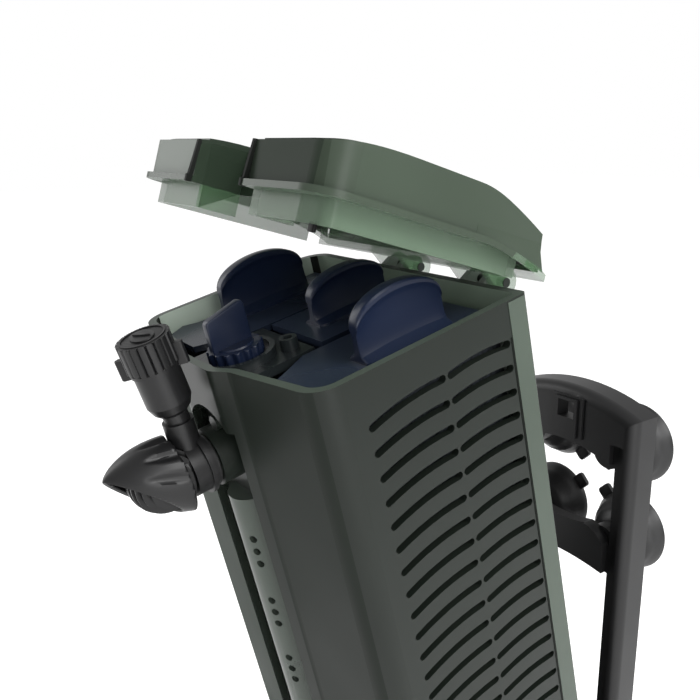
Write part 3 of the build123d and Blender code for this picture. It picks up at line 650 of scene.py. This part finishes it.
def nozzle_core():
    """The collar behind the ogive, the dark ball inside it and the ribs across its mouth."""
    collar = bmesh.new()
    along_port = Matrix.Translation((0, -88.7, PORT_Z)) @ Matrix.Rotation(pi / 2, 4, "X")
    outside = [(7.3, 0), (7.6, 0.3), (7.6, 2.4), (9.6, 2.6), (9.6, 4.2)]
    lathe(collar, [(5.7, 0), *outside, (5.7, 4.4), (5.7, 0)], 64, along_port)
    finish_piece("nozzle_collar", collar, CASE, CHARCOAL, "nozzle", 40)
    ball = bmesh.new()
    angles = [pi * row / 18 for row in range(1, 18)]
    arc = [(BALL_RADIUS * sin(angle), -BALL_RADIUS * cos(angle)) for angle in angles]
    lathe(ball, [(0, -BALL_RADIUS), *arc, (0, BALL_RADIUS)], 48, Matrix.Translation(BALL_MIDDLE))
    finish_piece("nozzle_ball", ball, CASE, BLACK, "nozzle", 40)
    ribs = bmesh.new()
    for step in range(-4, 5):
        aside = step * RIB_PITCH
        place = Matrix.Translation(BALL_MIDDLE + Vector((aside, 0, 0)))
        size = sqrt(RIB_REACH ** 2 - aside ** 2)
        disc = [(0, -0.35), (size, -0.35), (size, 0.35), (0, 0.35)]
        lathe(ribs, disc, 48, place @ Matrix.Rotation(pi / 2, 4, "Y"))
    piece = finish_piece("nozzle_ribs", ribs, CASE, CHARCOAL, "nozzle", 40)
    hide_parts("nozzle_grille")


def lid_cheeks():
    """The lid's sides run on below its flange line at the rear, flaring out over the case."""
    for side in (-1, 1):
        cheek = bmesh.new()
        steps = 12
        rows = []
        for step in range(steps + 1):
            along = step / steps
            y = CHEEK_FRONT_Y + CHEEK_LENGTH * along
            low = 2.0 - CHEEK_DROP * (0.957 * along) ** 1.75
            flare = CHEEK_FLARE * min(1.0, along / 0.4)
            back = y - 1.6 if step == steps else y
            outer = [
                (CHEEK_X, back, 4.6),
                (CHEEK_X + 0.3 * flare, back, 2.4),
                (CHEEK_X + flare, y, low),
            ]
            inner = [(x - CHEEK_WALL, y, z) for x, y, z in reversed(outer)]
            rows.append([cheek.verts.new((side * x, y, z)) for x, y, z in outer + inner])
        skin(cheek, rows)
        name = "lid_cheek_right" if side > 0 else "lid_cheek_left"
        finish_piece(name, cheek, LID, LID_SMOKE, "lid")
    apron = bmesh.new()
    section = [(1.5, 1.2), (2.0, 1.2), (2.55, -3.0), (2.05, -3.0)]
    slab(apron, section, -50.6, 50.6, SIDEWAYS, 0.1)
    finish_piece("lid_apron", apron, LID, LID_SMOKE, "lid")


def handle(name, centre, half_length, base, top, body):
    """A finger handle: an arched fin with square ends and a thick crown, flared to its foot."""
    fin = bmesh.new()
    stations = 32
    section = [
        (0.0, FIN_FOOT), (0.06, FIN_FOOT - 0.2), (0.1, 4.0), (0.16, 2.3), (0.3, 1.65), (0.55, 1.5),
        (0.78, 1.55), (0.86, 2.0), (0.9, 2.4), (0.96, 2.35), (0.99, 1.95), (1.0, 1.3),
    ]
    section += [(share, -width) for share, width in reversed(section)]
    rows = []
    for station in range(stations + 1):
        along = -cos(pi * station / stations)
        crown = (top - base) * (0.56 + 0.44 * sqrt(max(0.0, 1 - along * along)))
        taper = 1 - 0.3 * abs(along) ** 10
        row = []
        for share, width in section:
            spread = 1.0 + 0.03 * (1 - share)
            x = centre[0] + width * taper
            y = centre[1] + along * half_length * spread
            row.append(fin.verts.new((x, y, base + share * crown)))
        rows.append(row)
    skin(fin, rows)
    return finish_piece(name, fin, CASE, NAVY, body, 32)


def cartridge_handles():
    """The three finger handles, each in place of the plain one of its cartridge."""
    fins = [
        ("left", (-CARTRIDGE_X, -32.9), 15.8, -5.25, 12.2, "cartridge_left"),
        ("right", (CARTRIDGE_X, -31.8), 14.7, -5.25, 12.2, "cartridge_right"),
        ("middle", (0, BASKET_Y), 13.7, -4.85, 9.5, "basket"),
    ]
    for which, centre, half_length, base, top, body in fins:
        piece = handle("fin_" + which, centre, half_length, base, top, body)
        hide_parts("handle_" + which)


def dial_knob():
    """The lobed dial with a tall grip that rises to the rear."""
    knob = bmesh.new()
    steps = 192
    lobed = []
    for step in range(steps):
        radius = DIAL_RADIUS + LOBE_DEPTH * cos(DIAL_LOBES * (2 * pi * step / steps))
        x, y = circle(step, steps, radius)
        lobed.append((x, DIAL_Y + y))
    slab(knob, lobed, -4.2, -0.3, round_by=0.35)
    middle = Matrix.Translation((0, DIAL_Y, 0))
    lathe(knob, [(0, -0.4), (5.9, -0.4), (5.6, 0.15), (0, 0.35)], 48, middle)
    lathe(knob, [(0, -13.0), (2.9, -13.0), (2.9, -4.0), (0, -4.0)], 32, middle)
    grip = [
        (-7.1, -0.6), (5.5, -0.6), (5.5, 10.4), (5.1, 11.3), (4.2, 11.6),
        (-5.9, 9.2), (-6.8, 8.7), (-7.1, 7.9),
    ]
    slab(knob, [(DIAL_Y + y, z) for y, z in grip], -1.4, 1.4, SIDEWAYS, 0.35)
    piece = finish_piece("dial_knob", knob, CASE, NAVY, "dial", 40)
    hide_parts("flow_dial")


def rear_strips():
    """The strip behind each side's joint line, where the case is one wall thick, with light coming
    through it painted on as a paler colour.
    """
    for side in (-1, 1):
        strip = bmesh.new()
        x0, x1 = sorted((side * (SEAM_X - 0.02), side * (SEAM_X + 0.24)))
        back = -1.0 if side > 0 else -9.2
        slab(strip, [(x0, -7.3), (x1, -7.3), (x1, back), (x0, back)], -297.0, -0.6, round_by=0.08)
        name = "rear_strip_right" if side > 0 else "rear_strip_left"
        finish_piece(name, strip, CASE, SMOKE_PAINTED_LIGHT, "filter_case")


def valve_cap():
    """The knurled cap with its two thin wings."""
    cap = bmesh.new()
    steps = 240
    rim = []
    for step in range(steps):
        groove = max(0.0, cos(CAP_KNURLS * (2 * pi * step / steps))) ** 6
        rim.append(circle(step, steps, CAP_RADIUS - KNURL_DEPTH * groove))
    slab(cap, rim, 17.6, 26.0, round_by=0.4)
    lathe(cap, [(0, 16.4), (6.9, 16.4), (6.9, 18.0), (0, 18.0)], 56)
    wings = ((WING_TURN, 16.0, 22.4), (WING_TURN + pi, 15.4, 21.4))
    for angle, low, high in wings:
        outline = [(x + CAP_RADIUS + 0.4, y) for x, y in rounded_box((3.6, 2.0), 0.6)]
        slab(cap, outline, low, high, Matrix.Rotation(angle, 4, "Z"), 0.3)
    piece = finish_piece("valve_knob", cap, VALVE, CHARCOAL, "valve_cap")
    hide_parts("air_valve_cap")


def valve_badge():
    """The raised oval pad and rim line on the cap, and the ring under it."""
    badge = bmesh.new()
    oval = [circle(step, 40, 4.6, 3.2) for step in range(40)]
    slab(badge, oval, 25.9, 26.5, round_by=0.25)
    bar = [circle(step, 28, 3.2, 0.55) for step in range(28)]
    slab(badge, bar, 26.5, 27.0, Matrix.Rotation(radians(28), 4, "Z"), 0.15)
    lathe(badge, [(5.9, 25.8), (6.4, 25.8), (6.4, 26.3), (5.9, 26.3), (5.9, 25.8)], 56)
    finish_piece("valve_badge", badge, VALVE, CHARCOAL, "valve_cap")


def foam_pad(side):
    """An open-cell foam slab with rounded edges and a slightly uneven skin."""
    name = "right" if side > 0 else "left"
    pad = bmesh.new()
    middle, size = (FOAM_LOW + FOAM_HIGH) / 2, FOAM_HIGH - FOAM_LOW
    bmesh.ops.create_cube(pad, size=1.0)
    for vert in pad.verts:
        vert.co = middle + Vector(vert.co[axis] * size[axis] for axis in range(3))
    bmesh.ops.bevel(pad, geom=pad.edges[:], offset=2.6, segments=4, profile=0.5, affect="EDGES")
    long_edges = [edge for edge in pad.edges if edge.calc_length() > 30]
    bmesh.ops.subdivide_edges(pad, edges=long_edges, cuts=18, use_grid_fill=True)
    for vert in pad.verts:
        inward = (middle - vert.co).normalized()
        vert.co += inward * (0.35 + 0.35 * noise.noise(vert.co * 0.12))
        vert.co.x *= side
    piece = finish_piece("foam_" + name, pad, CASE, FOAM, "cartridge_" + name, 60)
    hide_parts("foam_pad_" + name)


def carbon_bag():
    """A net pouch, plump with granules."""
    bag = bmesh.new()
    bmesh.ops.create_cube(bag, size=1.0)
    bmesh.ops.subdivide_edges(bag, edges=bag.edges[:], cuts=14, use_grid_fill=True)
    for vert in bag.verts:
        x, y, z = vert.co * 2
        full = 1 - 0.25 * (x * x + y * y) * (0.6 + 0.4 * z * z)
        lump = 0.5 * noise.noise(Vector((x, y, z)) * 5)
        plump = sqrt(full)
        vert.co = Vector((x * 12.2 * plump, BASKET_Y + y * 15.4 * plump, -95 + z * (61 + lump)))
    piece = finish_piece("carbon_bag", bag, CASE, NET, "basket", 70)
    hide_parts("carbon_pouch")


def side_seams():
    """The dark joint line down each side, just in front of the back edge."""
    for side in (-1, 1):
        seam = bmesh.new()
        x0, x1 = sorted((side * SEAM_X, side * (SEAM_X + 0.2)))
        outline = [(x0, -8.0), (x1, -8.0), (x1, -7.45), (x0, -7.45)]
        slab(seam, outline, -298.0, -10.5, round_by=0.06)
        name = "side_seam_right" if side > 0 else "side_seam_left"
        finish_piece(name, seam, CASE, SHADOW, "filter_case")


def notch_edges():
    """The dark end faces of the lid's wall on both sides of its notch."""
    for side in (-1, 1):
        edge = bmesh.new()
        x0, x1 = sorted((side * 15.35, side * 16.6))
        points = [
            (-72.3, 12.3), (-71.2, 12.4), (-71.9, 2.2), (-71.9, 0.2),
            (-73.6, 0.2), (-73.6, 2.1), (-73.0, 2.2),
        ]
        slab(edge, points, x0, x1, SIDEWAYS, 0.12)
        name = "notch_edge_right" if side > 0 else "notch_edge_left"
        finish_piece(name, edge, LID, SHADOW, "lid")


def latch_nub():
    """The small catch under the lid's skirt."""
    nub = bmesh.new()
    slab(nub, rounded_box((2.4, 1.2), 0.4), -8.0, -5.6, Matrix.Translation((43.0, -67.2, 0)), 0.25)
    finish_piece("latch_nub", nub, LID, BLACK, "lid")


# ---------------------------------------------------------------- stage, light and camera


def plain_white():
    """A matt, faintly clouded white that is a little bright of itself."""
    mat, tree, shader, where = new_material("stage_white")
    soft = noise_node(tree, where, 3.0, 2.0)
    stops = [(0.3, (0.9, 0.9, 0.9)), (0.7, (0.93, 0.93, 0.93))]
    tree.links.new(ramp_node(tree, soft, stops), shader.inputs["Base Color"])
    shader.inputs["Roughness"].default_value = 0.9
    shader.inputs["Specular IOR Level"].default_value = 0.0
    shader.inputs["Emission Color"].default_value = (1.0, 1.0, 1.0, 1.0)
    shader.inputs["Emission Strength"].default_value = 0.34
    return mat


def floor(level):
    """The pale floor, at a height in metres."""
    sheet = bmesh.new()
    bmesh.ops.create_grid(sheet, x_segments=8, y_segments=8, size=6.0)
    mesh = bpy.data.meshes.new("floor")
    sheet.to_mesh(mesh)
    sheet.free()
    mesh.materials.append(plain_white())
    ground = bpy.data.objects.new("floor", mesh)
    ground.location = (0, 0, level)
    bpy.context.scene.collection.objects.link(ground)


def area_light(name, place, target, size, power):
    """A soft box that looks at a target, in metres and watts."""
    lamp = bpy.data.lights.new(name, "AREA")
    lamp.shape = "RECTANGLE"
    lamp.size, lamp.size_y = size
    lamp.energy = power
    holder = bpy.data.objects.new(name, lamp)
    holder.location = place
    holder.rotation_mode = "QUATERNION"
    holder.rotation_quaternion = (Vector(target) - Vector(place)).to_track_quat("-Z", "Y")
    bpy.context.scene.collection.objects.link(holder)


def studio():
    """White surroundings that light the scene a little less than they show, and three lamps."""
    world = bpy.data.worlds.new("studio")
    world.use_nodes = True
    tree = world.node_tree
    seen = tree.nodes["Background"]
    seen.inputs["Color"].default_value = (1.0, 1.0, 1.0, 1.0)
    seen.inputs["Strength"].default_value = 1.0
    soft = tree.nodes.new("ShaderNodeBackground")
    soft.inputs["Color"].default_value = (1.0, 1.0, 1.0, 1.0)
    soft.inputs["Strength"].default_value = 0.75
    rays = tree.nodes.new("ShaderNodeLightPath")
    mix = tree.nodes.new("ShaderNodeMixShader")
    tree.links.new(rays.outputs["Is Camera Ray"], mix.inputs["Fac"])
    tree.links.new(soft.outputs["Background"], mix.inputs[1])
    tree.links.new(seen.outputs["Background"], mix.inputs[2])
    tree.links.new(mix.outputs["Shader"], tree.nodes["World Output"].inputs["Surface"])
    bpy.context.scene.world = world
    bpy.context.scene.view_settings.view_transform = "Standard"
    middle = (0, -0.09, 0.0)
    for name, place, size, power in (
        ("key", (0.75, 0.1, 0.7), (0.5, 0.5), 11.0),
        ("side", (0.9, -0.35, 0.15), (0.4, 0.9), 5.0),
        ("left", (-0.8, -0.6, 0.4), (0.4, 0.8), 3.0),
    ):
        area_light(name, place, middle, size, power)


def camera():
    """The view from the front right and a little above."""
    azimuth, elevation, roll = radians(54.608), radians(14.508), radians(-0.478)
    data = bpy.data.cameras.new("camera")
    data.sensor_width = 36.0
    data.lens = 42.13
    data.shift_y = -0.0014
    data.clip_start = 0.01
    holder = bpy.data.objects.new("camera", data)
    away = Vector((sin(azimuth) * cos(elevation), -cos(azimuth) * cos(elevation), sin(elevation)))
    holder.location = (0.2014, -0.2696, 0.1366)
    holder.rotation_mode = "QUATERNION"
    look = (-away).to_track_quat("-Z", "Y")
    holder.rotation_quaternion = look @ Matrix.Rotation(roll, 3, "Z").to_quaternion()
    bpy.context.scene.collection.objects.link(holder)
    bpy.context.scene.camera = holder


camera()
dress_nodes()
shell_looks()
for cup_side in (-1, 1):
    for cup_height in (-CUP_Z, CUP_Z):
        suction_cup(cup_side, cup_height)
nozzle_shell()
nozzle_core()
valve_cap()
valve_badge()
cartridge_handles()
dial_knob()
rear_strips()
lid_cheeks()
for foam_side in (-1, 1):
    foam_pad(foam_side)
carbon_bag()
side_seams()
notch_edges()
latch_nub()
studio()
floor(cad_low.z - 0.0002)
